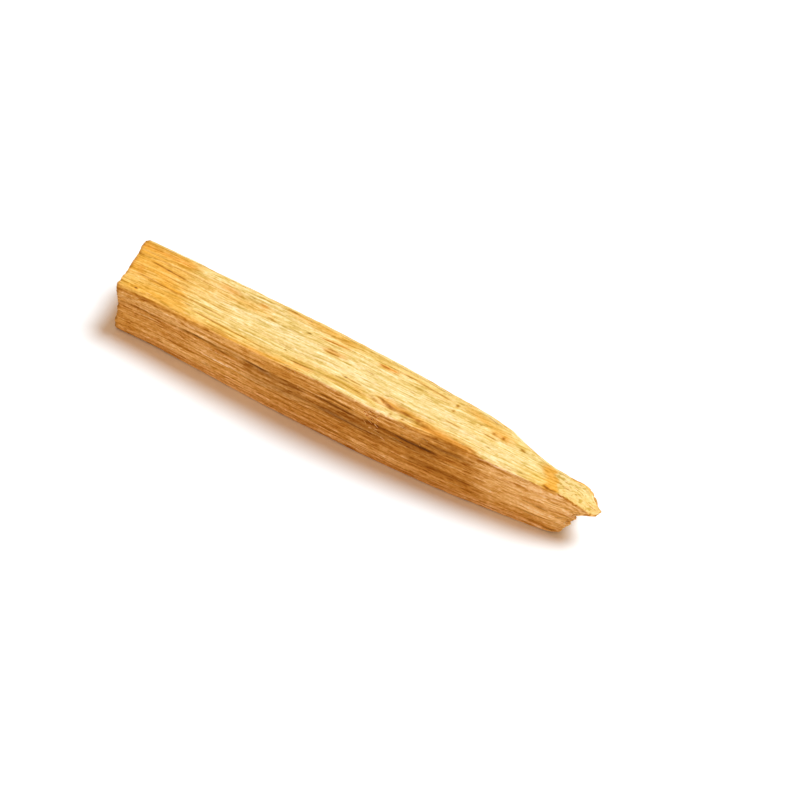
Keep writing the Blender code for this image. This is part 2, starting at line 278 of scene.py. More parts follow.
STREAKS[FRONT, "pink"] = (
    (0.7, 0.7, (0.12, 0.83), (0.18, 0.81), (0.25, 0.79)),
    (0.6, 0.6, (0.29, 0.86), (0.34, 0.84), (0.4, 0.79)),
    (0.5, 0.5, (0.17, 0.04), (0.3, 0.05), (0.45, 0.06), (0.57, 0.06)),
    (0.9, 0.2, (0.2, 0.58), (0.26, 0.55), (0.31, 0.56)),
    # This streak and the next paint bounced light: they lighten the front's lower part.
    (1.5, 0.58, (0.06, 0.17), (0.2, 0.18), (0.4, 0.18), (0.52, 0.15)),
    (1.4, 0.9, (0.52, 0.14), (0.57, 0.15), (0.64, 0.15)),
    (1.1, 0.6, (0.06, 0.79), (0.2, 0.78), (0.4, 0.78), (0.6, 0.79)),
    (0.9, 0.5, (0.0, 0.92), (0.1, 0.92), (0.2, 0.91)),
    (8.0, 0.95, (0.78, 0.55), (0.88, 0.5), (1.0, 0.5)),
    (2.0, 0.75, (0.86, 0.85), (0.91, 0.8), (0.97, 0.6)),
    (1.5, 0.6, (0.84, 0.45), (0.9, 0.4), (0.95, 0.45)),
)
# The brown streaks here that run along CREASE_UP are partly the wood's browner fibres in the crease, partly
# painted shade in it.
STREAKS[FRONT, "brown"] = (
    (0.55, 0.42, (0.0, 0.66), (0.031, 0.7), (0.075, 0.68), (0.125, 0.68), (0.147, 0.74),
        (0.165, 0.73)),
    (0.42, 0.65, (0.16, 0.7), (0.2, 0.73), (0.245, 0.7), (0.26, 0.67), (0.3, 0.7)),
    (0.9, 0.2, (0.0, 0.86), (0.06, 0.84), (0.14, 0.82), (0.2, 0.8)),
    (1.0, 0.35, (0.215, 0.76), (0.255, 0.76), (0.285, 0.76), (0.32, 0.76)),
    (0.42, 0.6, (0.29, 0.705), (0.34, 0.69), (0.355, 0.68), (0.38, 0.69), (0.44, 0.675)),
    (0.55, 0.5, (0.335, 0.655), (0.37, 0.64)),
    (1.2, 0.42, (0.29, 0.63), (0.34, 0.63), (0.45, 0.62)),
    (1.4, 0.32, (0.3, 0.46), (0.4, 0.46), (0.62, 0.46)),
    (0.17, 0.7, (0.462, 0.77), (0.5, 0.775), (0.546, 0.768)),
    (0.22, 0.6, (0.45, 0.665), (0.5, 0.66), (0.545, 0.655)),
    (0.5, 0.4, (0.365, 0.51), (0.42, 0.505), (0.48, 0.51), (0.53, 0.51), (0.57, 0.49)),
    (1.6, 0.4, (0.46, 0.62), (0.56, 0.62), (0.65, 0.58), (0.73, 0.55)),
    (0.4, 0.8, (0.555, 0.68), (0.6, 0.675), (0.65, 0.665), (0.71, 0.67)),
    (1.1, 0.6, (0.66, 0.8), (0.72, 0.8), (0.78, 0.78)),
    (0.9, 0.45, (0.64, 0.35), (0.7, 0.35), (0.78, 0.35)),
    (0.17, 0.35, (0.866, 0.525), (0.89, 0.515), (0.915, 0.5)),
    (0.17, 0.3, (0.855, 0.3), (0.89, 0.3), (0.93, 0.28)),
    (0.15, 0.35, (0.9, 0.71), (0.93, 0.68), (0.965, 0.63)),
    (0.18, 0.35, (0.895, 0.53), (0.905, 0.53), (0.918, 0.5)),
    (0.18, 0.35, (0.925, 0.4), (0.935, 0.4), (0.95, 0.36)),
    (0.2, 0.5, (0.905, 0.1), (0.92, 0.07), (0.935, 0.04)),
    (0.15, 0.35, (0.955, 0.46), (0.97, 0.46), (0.985, 0.46)),
)
# The dark streaks that run along CREASE_UP are partly painted shade in the crease.
STREAKS[FRONT, "dark"] = (
    (0.14, 0.75, (0.192, 0.728), (0.219, 0.722)),
    (0.16, 0.75, (0.305, 0.7), (0.335, 0.695), (0.358, 0.68)),
    (0.2, 0.3, (0.458, 0.515), (0.51, 0.5), (0.556, 0.49)),
    (0.17, 0.7, (0.618, 0.675), (0.65, 0.662), (0.705, 0.665)),
    (0.2, 0.5, (0.638, 0.775), (0.645, 0.765)),
)
TINTS = ("pale", "gold", "orange", "pink", "brown", "dark", "amber")  # amber lies beside brown and dark
STREAK_RAGGED = 0.00028  # how far a streak's edges wander, in metres
STREAK_EDGE_SIZE = (0.009, 0.0007)
STREAK_DRIFT_SIZE = (0.012, 0.0030)
STREAK_LINE_SIZE = (0.006, 0.00055)

# Slivers that stand off the surface where they show most: face, share, share across, length, slant across
# the grain from -1 to 1, how far the tip lifts and half the thickness. Lengths are in millimetres.
SLIVERS = (
    (FRONT, 0.562, 0.88, 1.2, 0.35, 0.45, 0.15), (FRONT, 0.568, 0.93, 1.0, -0.30, 0.40, 0.15),
    (FRONT, 0.574, 0.96, 0.9, 0.20, 0.35, 0.13), (FRONT, 0.580, 0.90, 1.3, 0.30, 0.45, 0.15),
    (FRONT, 0.586, 0.85, 1.0, -0.30, 0.35, 0.14), (FRONT, 0.574, 0.79, 1.2, 0.10, 0.40, 0.14),
    (FRONT, 0.582, 0.70, 1.0, -0.20, 0.35, 0.13), (FRONT, 0.572, 0.60, 1.0, 0.25, 0.30, 0.13),
    (FRONT, 0.596, 0.52, 1.1, 0.10, 0.30, 0.13), (FRONT, 0.590, 0.93, 0.8, 0.40, 0.35, 0.13),
    (FRONT, 0.566, 0.83, 1.1, 0.25, 0.40, 0.14), (FRONT, 0.577, 0.84, 1.0, -0.15, 0.35, 0.13),
    (FRONT, 0.570, 0.72, 1.1, 0.15, 0.35, 0.13), (FRONT, 0.588, 0.76, 1.0, 0.30, 0.35, 0.13),
    (FRONT, 0.560, 0.66, 0.9, -0.25, 0.30, 0.12), (FRONT, 0.583, 0.62, 1.0, 0.20, 0.30, 0.12),
    (FRONT, 0.674, 0.73, 1.3, 0.90, 0.35, 0.13), (FRONT, 0.424, 0.68, 0.9, 0.90, 0.30, 0.11),
)
FIBRE_COUNTS = (50, 50, 90)  # over the faces, along the edges, at the tear
FIBRE_SEED = 21
MM = 0.001

# The photograph's camera: where it looks, its direction and its distance.
TARGET = Vector((0.00497, 0.0070, 0.0))
AZIMUTH = math.radians(32.56)
ELEVATION = math.radians(46.0)
DISTANCE = 0.4984
LENS = 120.0
SENSOR = 36.0

FLOOR_HALF_SIZE = 3.0
FLOOR_DROP = 0.00002  # keeps the floor clear of the underside
FLOOR_COLOUR = (0.95, 0.95, 0.95, 1.0)
ROOM_COLOUR = (1.0, 0.66, 0.42, 1.0)
ROOM_STRENGTH = 0.56
LIGHT_COLOUR = (0.69, 0.87, 1.0)
LIGHT_STRENGTH = 3.80
LIGHT_SPREAD = math.radians(28)
LIGHT_FROM = Vector((0.45, 0.38, 1.0))
SHARP_ANGLE = math.radians(62)


def smoothstep(low, high, value):
    """0 below low, 1 above high, and a smooth rise between them."""
    share = min(1.0, max(0.0, (value - low) / (high - low)))
    return share * share * (3.0 - 2.0 * share)


def along(outline, share):
    """The outline's value at a share of LENGTH, on a smooth curve through its points."""
    last = len(outline) - 1
    right = next((i for i, point in enumerate(outline) if point[0] >= share), last)
    right = max(1, right)
    (x0, y0), (x1, y1) = outline[right - 1], outline[right]
    before = outline[max(0, right - 2)]
    after = outline[min(last, right + 1)]
    slope_0 = (y1 - before[1]) / (x1 - before[0])
    slope_1 = (after[1] - y0) / (after[0] - x0)
    width = x1 - x0
    t = min(1.0, max(0.0, (share - x0) / width))
    return (
        (2 * t**3 - 3 * t**2 + 1) * y0
        + (t**3 - 2 * t**2 + t) * width * slope_0
        + (3 * t**2 - 2 * t**3) * y1
        + (t**3 - t**2) * width * slope_1
    )


def corners_at(share):
    """The cross-section's corners as (y, z), from the front foot up and round."""
    foot = max(0.0, along(UNDERSIDE_UP, share) * HEIGHT)
    return (
        Vector((along(FRONT_OUT, share) * WIDTH, foot)),
        Vector((along(FRONT_OUT, share) * WIDTH, along(RIDGE_UP, share) * HEIGHT)),
        Vector((along(BACK_TOP_OUT, share) * WIDTH, along(BACK_TOP_UP, share) * HEIGHT)),
        Vector((along(BACK_FOOT_OUT, share) * WIDTH, foot)),
    )


def radii_at(share):
    """The radius of each long edge at a share of LENGTH."""
    ridge = along(RIDGE_RADIUS, share)
    return [WIDTH * radius for radius in (FRONT_FOOT_RADIUS, ridge, BACK_TOP_RADIUS, BACK_FOOT_RADIUS)]


def outline_at(share):
    """The cross-section at a share of LENGTH: (y, z, side) points with rounded corners."""
    corners, radii = corners_at(share), radii_at(share)
    points = []
    for side in range(4):
        here, ahead = corners[side], corners[(side + 1) % 4]
        behind = corners[side - 1]
        edge = (ahead - here).length
        beyond = corners[(side + 2) % 4]
        cut = min(radii[side], EDGE_LIMIT * edge, EDGE_LIMIT * (here - behind).length)
        cut_ahead = min(radii[(side + 1) % 4], EDGE_LIMIT * edge, EDGE_LIMIT * (beyond - ahead).length)
        start = here + (behind - here).normalized() * cut
        finish = here + (ahead - here).normalized() * cut
        for step in range(1, EDGE_POINTS[side] + 1):
            t = step / (EDGE_POINTS[side] + 1)
            points.append((start * (1 - t) ** 2 + here * 2 * t * (1 - t) + finish * t**2, side))
        far = ahead + (here - ahead).normalized() * cut_ahead
        for step in range(SIDE_POINTS[side]):
            t = step / (SIDE_POINTS[side] - 1)
            points.append((finish.lerp(far, t), side))
    return points


def normals_of(points):
    """The outward normal of the cross-section at each of its points."""
    count = len(points)
    found = []
    for i in range(count):
        chord = points[(i + 1) % count][0] - points[i - 1][0]
        found.append(Vector((-chord.y, chord.x)).normalized())
    return found


def fibre_noise(place, lengthwise, across, seed):
    """Noise drawn out along the stick's fibres."""
    return noise.noise(Vector((place.x / lengthwise + seed, place.y / across, place.z / across)))


def grain_place(share, x, point, side, corners):
    """The place of a point among the fibres, which follow the front face's bow, and at the back its own."""
    bow = (along(FRONT_OUT, share) + BOW_START) * WIDTH
    if side == BACK:
        top, foot = corners[2], corners[3]
        bow = foot.x + (top.x - foot.x) * (point.y - foot.y) / (top.y - foot.y) - 0.5 * WIDTH
    rise = 0.5 * (along(RIDGE_UP, share) - RISE_START) * HEIGHT
    wander = WANDER * noise.noise(Vector((x / WANDER_LENGTH, 2.3, 0.0)))
    return Vector((x, point.x - bow + wander, point.y - rise - 0.6 * wander))


def coarse_relief(x, point):
    """The solid's own low ridges and grooves."""
    place = Vector((x / GRAIN_ALONG, point.x / GRAIN_ACROSS, point.y / GRAIN_ACROSS))
    return GRAIN_DEPTH * noise.noise(place)


def ledge_relief(share, point, corners, ragged, broken):
    """How far the top face stands above the bed of the lost sliver, beyond the step beside the ridge."""
    first, last = LEDGE_AWAY[0][0], LEDGE_AWAY[-1][0]
    lengthwise = smoothstep(first, first + LEDGE_FADE, share)
    lengthwise *= 1.0 - smoothstep(last - LEDGE_FADE, last, share)
    beyond = point.x - corners[1].x - along(LEDGE_AWAY, share) * WIDTH + ragged
    sideways = smoothstep(-LEDGE_STEEP, LEDGE_STEEP, beyond)
    sideways *= 1.0 - smoothstep(0.2 * LEDGE_SHOULDER, LEDGE_SHOULDER, beyond)
    return LEDGE_HEIGHT * lengthwise * sideways * broken


def crease_relief(share, point, corners):
    """How far the front face dips along its crease."""
    fade = 1.0 - smoothstep(*CREASE_SPAN, share)
    foot, ridge = corners[0].y, corners[1].y
    away = point.y - (foot + along(CREASE_UP, share) * (ridge - foot))
    return -CREASE_DEPTH * fade * math.exp(-((away / CREASE_HALF_WIDTH) ** 2))


def fibre_relief(place, rough_share):
    """The fine grooves, fibres and pores: (relief in metres, how deep in a groove from 0 to 1, which
    darkens the colour there, partly as painted shade).
    """
    patch = 0.5 + 0.5 * fibre_noise(place, *GROOVE_PATCH, 31.0)
    line = fibre_noise(place, *GROOVE_SIZE, 11.0)
    groove = math.exp(-((line / 0.13) ** 2)) * min(1.0, 0.2 + 1.2 * patch)
    fine = fibre_noise(place, *FINE_SIZE, 53.0)
    rough = fibre_noise(place, *ROUGH_SIZE, 61.0)
    pore = smoothstep(0.30, 0.52, fibre_noise(place, *PORE_SIZE, 71.0))
    relief = -GROOVE_DEPTH * groove + FINE_DEPTH * fine - PORE_DEPTH * pore
    relief += ROUGH_DEPTH * (0.25 + 0.75 * rough_share) * rough
    return relief, min(1.0, 0.8 * groove + 0.8 * pore)


def saw_offset(point):
    """How far inside the stick's far limit the saw cut lies, at (y, z)."""
    across = min(1.0, max(0.0, 0.5 - point.x / WIDTH))
    swell = smoothstep(0.45, 1.0, across) * (1.0 - smoothstep(0.05, 0.60, point.y / HEIGHT))
    chips = SAW_CHIPS * noise.noise(Vector((3.7, point.x / SAW_CHIP_SIZE, point.y / SAW_CHIP_SIZE)))
    bulge = SAW_BULGE * smoothstep(0.25, 0.50, point.x / WIDTH)
    corner = SAW_CORNER * smoothstep(0.53, 0.60, point.x / WIDTH)
    return SAW_SKEW * across - SAW_SWELL * swell - bulge + corner + chips


def saw_marks(point):
    """The sawn face's fine roughness: fibre ends and the saw's scratches."""
    ends = noise.noise(Vector((5.1, point.x / FIBRE_END, point.y / FIBRE_END)))
    slant = point.x * SCRATCH_SLANT + point.y
    scratch = noise.noise(Vector((1.3, slant / SCRATCH_SIZE[1], point.x / SCRATCH_SIZE[0])))
    return SAW_ROUGHNESS * (0.6 * ends + scratch)


def edge_crumbs(point, rim):
    """Small chips along the sawn end's edge, where rim is 1, in metres inward."""
    crumb = noise.noise(Vector((8.2, point.x / CRUMB_SIZE, point.y / CRUMB_SIZE)))
    return CRUMB_DEPTH * rim * max(0.0, crumb - 0.05)


def tear_offset(point, upward):
    """How much longer or shorter the fibres at (y, z) broke off. The upper side broke more evenly."""
    smooth = noise.noise(Vector((9.1, point.x / BUNDLE, point.y / BUNDLE)))
    place = Vector((2.7, point.x / TEAR_WANDER_SIZE, point.y / TEAR_WANDER_SIZE))
    wander = TEAR_WANDER * noise.noise(place)
    y, z = point.x + wander, point.y - wander
    bundle = noise.cell(Vector((4.5, y / TORN_STRAND[0], z / TORN_STRAND[1]))) - 0.5
    fibre = noise.noise(Vector((7.4, point.x / TORN_FIBRE[0], point.y / TORN_FIBRE[1])))
    calm = TONGUE_EVEN * smoothstep(*TONGUE_UP, point.y / HEIGHT)
    splinter = SPLINTER * (1.0 - max(0.85 * upward, 0.8 * calm)) * (0.62 * bundle + 0.55 * fibre)
    return TEAR_LENGTH * (1.0 - max(TEAR_EVEN * upward, calm)) * smooth + splinter


def tint_at(share, across, side, place, face_width):
    """The strength of each tint at a place on the surface."""
    found = dict.fromkeys(TINTS, 0.0)
    ragged = fibre_noise(place, *STREAK_EDGE_SIZE, 17.0)
    drift = fibre_noise(place, *STREAK_DRIFT_SIZE, 19.0)
    streaky = min(1.0, max(0.0, 0.5 + 1.1 * fibre_noise(place, *STREAK_LINE_SIZE, 29.0)))
    for name in TINTS:
        for half, strength, *line in STREAKS.get((side, name), ()):
            first, last = line[0][0], line[-1][0]
            if not first - 0.02 < share < last + 0.02:
                continue
            fade = min(0.02 if half < 1.0 else 0.04, 0.35 * (last - first))
            early = -1.0 if first < 0.004 else first - 0.3 * fade
            late = 2.0 if last > 0.996 else last + 0.3 * fade
            ends = smoothstep(early, first + fade, share) * (1.0 - smoothstep(last - fade, late, share))
            middle = np.interp(share, [p[0] for p in line], [p[1] for p in line])
            half *= MM
            away = (across - middle) * face_width + STREAK_RAGGED * ragged * min(1.0, half / (0.5 * MM))
            away += 0.5 * half * drift
            value = strength * ends * math.exp(-((away / half) ** 2))
            value *= 1.5 if half < 0.4 * MM else 0.75 + 0.5 * streaky
            found[name] = 1.0 - (1.0 - found[name]) * (1.0 - min(1.0, value))
            if name in ("brown", "dark"):
                halo = strength * ends * math.exp(-((away / (1.6 * half + 0.15 * MM)) ** 2))
                found["amber"] = max(found["amber"], min(1.0, 1.3 * halo))
    return found


def bevel_at(share, across, ragged):
    """At the torn end the top ends in a paler bevel behind an orange band: (bevel, band), from 0 to 1."""
    beyond = share - BEVEL_START + BEVEL_SLANT * across + ragged
    bevel = smoothstep(-BEVEL_EDGE, BEVEL_EDGE, beyond)
    return bevel, smoothstep(*BAND_SPAN, beyond) * (1.0 - bevel)


def ring_shares():
    """The shares of LENGTH at which the rings of the body lie."""
    shares, here = [0.0], 0.0
    for limit, step in RING_STEPS:
        count = round((limit - here) / step)
        shares += [here + (limit - here) * (i + 1) / count for i in range(count)]
        here = limit
    return shares


class Surface:
    """The vertices of the visible surface, ring by ring, with what the wood's material reads at each."""

    def __init__(self):
        self.places, self.grains, self.grooves, self.sides = [], [], [], []
        self.torn, self.sawn, self.tints = [], [], []

    def add(self, place, grain, groove, side, torn, sawn, tints):
        self.places.append(place - RAW_MIDDLE)
        self.grains.append(grain)
        self.grooves.append(groove)
        self.sides.append(side)
        self.torn.append(torn)
        self.sawn.append(sawn)
        self.tints.append([tints.get(name, 0.0) for name in TINTS])


def body_point(share, point, normal, side, corners):
    """One vertex of the body, with what the material reads there."""
    x = (share - 0.5) * LENGTH
    grain = grain_place(share, x, point, side, corners)
    # Faces turned sideways take the browner side colours, partly painted shade.
    facing_side = smoothstep(0.25, 0.75, abs(normal.x))
    fine, groove = fibre_relief(grain, facing_side)
    ragged = 0.00030 * fibre_noise(grain, 0.005, 0.002, 41.0)
    ragged += 0.00045 * fibre_noise(grain, 0.0011, 0.0008, 43.0)
    broken = 0.45 + 0.55 * smoothstep(-0.15, 0.20, fibre_noise(grain, 0.0026, 0.0020, 47.0))
    relief = coarse_relief(x, point)
    tear = smoothstep(TEAR_START, 0.97, share)
    if side == FRONT:
        relief += crease_relief(share, point, corners)
        across = (point.y - corners[0].y) / (corners[1].y - corners[0].y)
        width = corners[1].y - corners[0].y
    else:
        across = (point.x - corners[1].x) / (corners[2].x - corners[1].x)
        width = corners[2].x - corners[1].x
    if side == TOP:
        relief += ledge_relief(share, point, corners, ragged, broken)
    near_ridge = math.exp(-(((point - corners[1]).length / EDGE_CHIP_REACH) ** 2))
    near_back = math.exp(-(((point - corners[2]).length / EDGE_CHIP_REACH) ** 2))
    chips = noise.noise(Vector((x / EDGE_CHIP_LENGTH, 6.0 * near_back, 4.4))) * (near_ridge + near_back)
    relief += EDGE_CHIPS * min(0.2, chips) * smoothstep(0.15, 0.35, share + 0.3 * near_back)
    tints = tint_at(share, across, side, grain, width)
    singed = math.exp(-((share * LENGTH / SINGE_REACH) ** 2))
    singed *= smoothstep(-0.30, 0.10, fibre_noise(grain, 1.0, 0.0011, 3.0))
    tints["brown"] = max(tints["brown"], 0.85 * singed)
    tints["amber"] = max(tints["amber"], singed)
    raised = point + normal * (relief + fine)
    if side == UNDER and share < UNDERSIDE_END:
        raised = Vector((point.x, point.y + max(0.0, -0.8 * fine)))
        facing_side = UNDERSIDE_LOOK
    elif side == UNDER:
        facing_side = BREAK_LOOK
    rim = math.exp(-((share * LENGTH / CRUMB_REACH) ** 2))
    near_saw = 1.0 - smoothstep(0.0, SAW_REACH, share)
    x += near_saw * saw_offset(point) + rim * (saw_marks(point) + edge_crumbs(point, rim))
    upward = smoothstep(0.3, 0.8, normal.y)
    x += tear * tear_offset(point, upward)
    torn = tear * smoothstep(*BREAK_SPAN, share) * (1.0 - upward)
    if side == TOP:
        torn, band = bevel_at(share, across, 0.010 * fibre_noise(grain, 0.004, 0.0009, 83.0))
        tints["gold"] = max(tints["gold"] * (1.0 - 0.5 * torn), 0.9 * band)
        tints["orange"] = max(tints["orange"], 0.12 * band)
    place = Vector((x, raised.x, max(0.0, raised.y)))
    return place, grain, groove, facing_side, torn, 0.6 * rim * rim, tints


def cap_point(place_2d, spread):
    """One vertex of the sawn face. spread is 1 at its edge."""
    grain = grain_place(0.0, -0.5 * LENGTH, place_2d, UNDER, None)
    x = saw_offset(place_2d) - 0.5 * LENGTH + saw_marks(place_2d)
    x += edge_crumbs(place_2d, math.exp(-(((1.0 - spread) / 0.12) ** 2)))
    return Vector((x, place_2d.x, place_2d.y)), grain, 0.0, CAP_LOOK, 0.0, 1.0, {}


def build_surface():
    """All vertices, from the middle of the sawn face to the torn tip, and how far along each ring lies."""
    surface = Surface()
    outline = [point for point, side in outline_at(0.0)]
    middle = sum(outline, Vector((0.0, 0.0))) / len(outline)
    surface.add(*cap_point(middle, 0.0))
    reach = [0.0]
    for i in range(1, CAP_RINGS):
        spread = i / CAP_RINGS
        reach.append(spread * 0.5 * WIDTH)
        for point in outline:
            surface.add(*cap_point(middle.lerp(point, spread), spread))
    for share in ring_shares():
        reach.append(0.5 * WIDTH + share * LENGTH)
        points, corners = outline_at(share), corners_at(share)
        for (point, side), normal in zip(points, normals_of(points)):
            surface.add(*body_point(share, point, normal, side, corners))
    last = surface.places[-len(outline):]
    tip = sum(last, Vector()) / len(last) + RAW_MIDDLE
    surface.add(tip, surface.grains[-1], 0.0, 0.0, 1.0, 0.0, {})
    reach.append(reach[-1] + 0.0005)
    return surface, len(outline), reach


def add_object(name, data):
    """A new object in the scene."""
    added = bpy.data.objects.new(name, data)
    bpy.context.scene.collection.objects.link(added)
    return added


def set_values(mesh, name, values, kind="FLOAT", field="value"):
    """Stores one value for each vertex."""
    attribute = mesh.attributes.new(name, kind, "POINT")
    attribute.data.foreach_set(field, np.asarray(values, np.float32).ravel())


def body_grid(surface, around):
    """The body's vertices by ring and by place round it, with the outward direction at each."""
    first = 1 + (CAP_RINGS - 1) * around
    places = np.array([tuple(place) for place in surface.places[first:-1]]).reshape(-1, around, 3)
    ahead = np.gradient(places, axis=0)
    sideways = np.roll(places, -1, axis=1) - np.roll(places, 1, axis=1)
    outward = np.cross(ahead, sideways)
    outward /= np.linalg.norm(outward, axis=2, keepdims=True) + 1e-12
    return places, outward


def spot_on(grid, shares, share, side, across):
    """A place on the surface, and the outward direction there."""
    places, outward = grid
    start = sum(SIDE_POINTS[:side]) + sum(EDGE_POINTS[: side + 1])
    column = start + min(1.0, max(0.0, across)) * (SIDE_POINTS[side] - 1)
    row = np.interp(share, shares, np.arange(len(shares)))
    i, j = min(int(row), len(shares) - 2), min(int(column), places.shape[1] - 2)
    u, v = row - i, column - j
    found = []
    for table in (places, outward):
        near = table[i, j] * (1 - v) + table[i, j + 1] * v
        far = table[i + 1, j] * (1 - v) + table[i + 1, j + 1] * v
        found.append(Vector(near * (1 - u) + far * u))
    return found


class Fibres:
    """Thin closed slivers, each rooted in the stick's surface."""

    def __init__(self, grid):
        self.grid, self.shares = grid, ring_shares()
        self.places, self.faces, self.grains, self.tints = [], [], [], []

    def grow(self, side, share, across, length, slant, lift, half, curl=0.0, tint="pale"):
        """Adds one sliver. Lengths in millimetres; slant is how much it crosses the grain, from -1 to 1."""
        width = (0.93 * WIDTH, HEIGHT)[side in (FRONT, BACK)]
        rise = 1.0 if side in (FRONT, TOP) else -1.0
        steps = max(3, min(8, round(length * 3)))
        path = []
        for step in range(steps + 1):
            t = step / steps
            forward = MM * length * t * math.cos(slant * math.pi / 2)
            sideways = MM * (length * t * math.sin(slant * math.pi / 2) + curl * math.sin(2.5 * t))
            there = across + rise * sideways / width
            place, out = spot_on(self.grid, self.shares, share + forward / LENGTH, side, there)
            path.append((place + out * MM * (lift * t**1.4 - 0.03 * (1.0 - t)), out))
        first = len(self.places)
        grain = Vector((first * 0.013, path[0][0].y, path[0][0].z))
        for step, (place, out) in enumerate(path):
            t = step / steps
            ahead = (path[min(steps, step + 1)][0] - path[max(0, step - 1)][0]).normalized()
            beside = ahead.cross(out).normalized()
            thick = MM * half * (1.0 - 0.75 * t**2)
            for turn in range(4):
                angle = math.pi / 2 * turn
                corner = place + beside * thick * math.cos(angle)
                self.places.append(corner + out * 0.7 * thick * math.sin(angle))
                self.grains.append(grain + Vector((place.x, 0.0, 0.0)))
                self.tints.append(tint)
        for step in range(steps):
            low = first + 4 * step
            for turn in range(4):
                ahead = (turn + 1) % 4
                self.faces.append((low + turn, low + 4 + turn, low + 4 + ahead, low + ahead))
        last = first + 4 * steps
        self.faces.append((first, first + 1, first + 2, first + 3))
        self.faces.append((last + 3, last + 2, last + 1, last))


def build_fibres(grid):
    """The slivers on the stick: those that show most, and a scatter over the faces, edges and tear."""
    fibres = Fibres(grid)
    for spot in SLIVERS:
        fibres.grow(*spot, tint="pink")
    seen = len(fibres.places)
    draw = random.Random(FIBRE_SEED)
    for _ in range(FIBRE_COUNTS[0]):
        side = draw.choice((FRONT, FRONT, TOP, BACK))
        share, across = draw.uniform(0.01, 0.93), draw.uniform(0.04, 0.96)
        length, lift = draw.uniform(1.2, 4.0), draw.uniform(0.02, 0.10)
        slant, half = draw.uniform(-0.06, 0.06), draw.uniform(0.03, 0.06)
        tint = draw.choice(("pale", "orange", "pink"))
        fibres.grow(side, share, across, length, slant, lift, half, tint=tint)
    for _ in range(FIBRE_COUNTS[1]):
        side, across = draw.choice(((TOP, 0.0), (TOP, 1.0), (FRONT, 1.0), (BACK, 0.0), (BACK, 1.0)))
        share = draw.uniform(0.01, 0.95)
        length, slant = draw.uniform(0.8, 3.0), draw.uniform(-0.10, 0.10)
        lift, half = draw.uniform(0.03, 0.18), draw.uniform(0.03, 0.06)
        fibres.grow(side, share, across, length, slant, lift, half, curl=draw.uniform(-0.1, 0.1))
    for _ in range(FIBRE_COUNTS[2]):
        side = draw.choice((FRONT, UNDER, UNDER, BACK, TOP))
        share, across = draw.uniform(0.925, 0.995), draw.uniform(0.0, 1.0)
        if side == FRONT:
            across = draw.uniform(0.0, 0.25)
        length, slant = draw.uniform(0.4, 1.3), draw.uniform(-0.25, 0.25)
        lift, half = draw.uniform(0.02, 0.14), draw.uniform(0.04, 0.09)
        tint = draw.choice(("pale", "orange"))
        fibres.grow(side, share, across, length, slant, lift, half, tint=tint)
    mesh = bpy.data.meshes.new("loose_fibres")
    mesh.from_pydata(fibres.places, [], fibres.faces)
    uv = mesh.uv_layers.new(name="OFBake")
    count = len(mesh.loops)
    maps = [(0.02 + 0.96 * (i % 997) / 997, 0.02 + 0.96 * (i % 991) / 991) for i in range(count)]
    uv.data.foreach_set("uv", np.asarray(maps, np.float32).ravel())
    set_values(mesh, "grain", fibres.grains, "FLOAT_VECTOR", "vector")
    scattered = len(fibres.places) - seen
    set_values(mesh, "torn", [0.0] * seen + [0.4] * scattered)
    set_values(mesh, "side", [1.0] * seen + [0.0] * scattered)
    for name in TINTS:
        set_values(mesh, name, [float(tint == name) for tint in fibres.tints])
    mesh.update()
    mesh.shade_smooth()
    return add_object("loose_fibres", mesh)


def build_stick(surface, around, reach):
    """The visible stick, one closed mesh."""
    rings = (len(surface.places) - 2) // around
    tip = len(surface.places) - 1
    faces, maps = [], []
    total = reach[-1]
    for i in range(around):
        ahead = (i + 1) % around
        u0, u1 = i / around, (i + 1) / around
        faces.append((0, 1 + ahead, 1 + i))
        maps += [(u0, 0.0), (u1, reach[1] / total), (u0, reach[1] / total)]
    for ring in range(rings - 1):
        low, high = 1 + ring * around, 1 + (ring + 1) * around
        v0, v1 = reach[ring + 1] / total, reach[ring + 2] / total
        for i in range(around):
            ahead = (i + 1) % around
            u0, u1 = i / around, (i + 1) / around
            faces.append((low + i, low + ahead, high + ahead, high + i))
            maps += [(u0, v0), (u1, v0), (u1, v1), (u0, v1)]
    low = 1 + (rings - 1) * around
    for i in range(around):
        ahead = (i + 1) % around
        u0, u1 = i / around, (i + 1) / around
        faces.append((low + i, low + ahead, tip))
        maps += [(u0, reach[-2] / total), (u1, reach[-2] / total), (u0, 1.0)]
    mesh = bpy.data.meshes.new("stick_surface")
    mesh.from_pydata(surface.places, [], faces)
    uv = mesh.uv_layers.new(name="OFBake")
    uv.data.foreach_set("uv", np.asarray(maps, np.float32).ravel())
    set_values(mesh, "grain", surface.grains, "FLOAT_VECTOR", "vector")
    set_values(mesh, "groove", surface.grooves)
    set_values(mesh, "side", surface.sides)
    set_values(mesh, "torn", surface.torn)
    set_values(mesh, "sawn", surface.sawn)
    for column, name in enumerate(TINTS):
        set_values(mesh, name, [row[column] for row in surface.tints])
    mesh.update()
    mesh.shade_smooth()
    mesh.set_sharp_from_angle(angle=SHARP_ANGLE)
    return add_object("stick_surface", mesh)


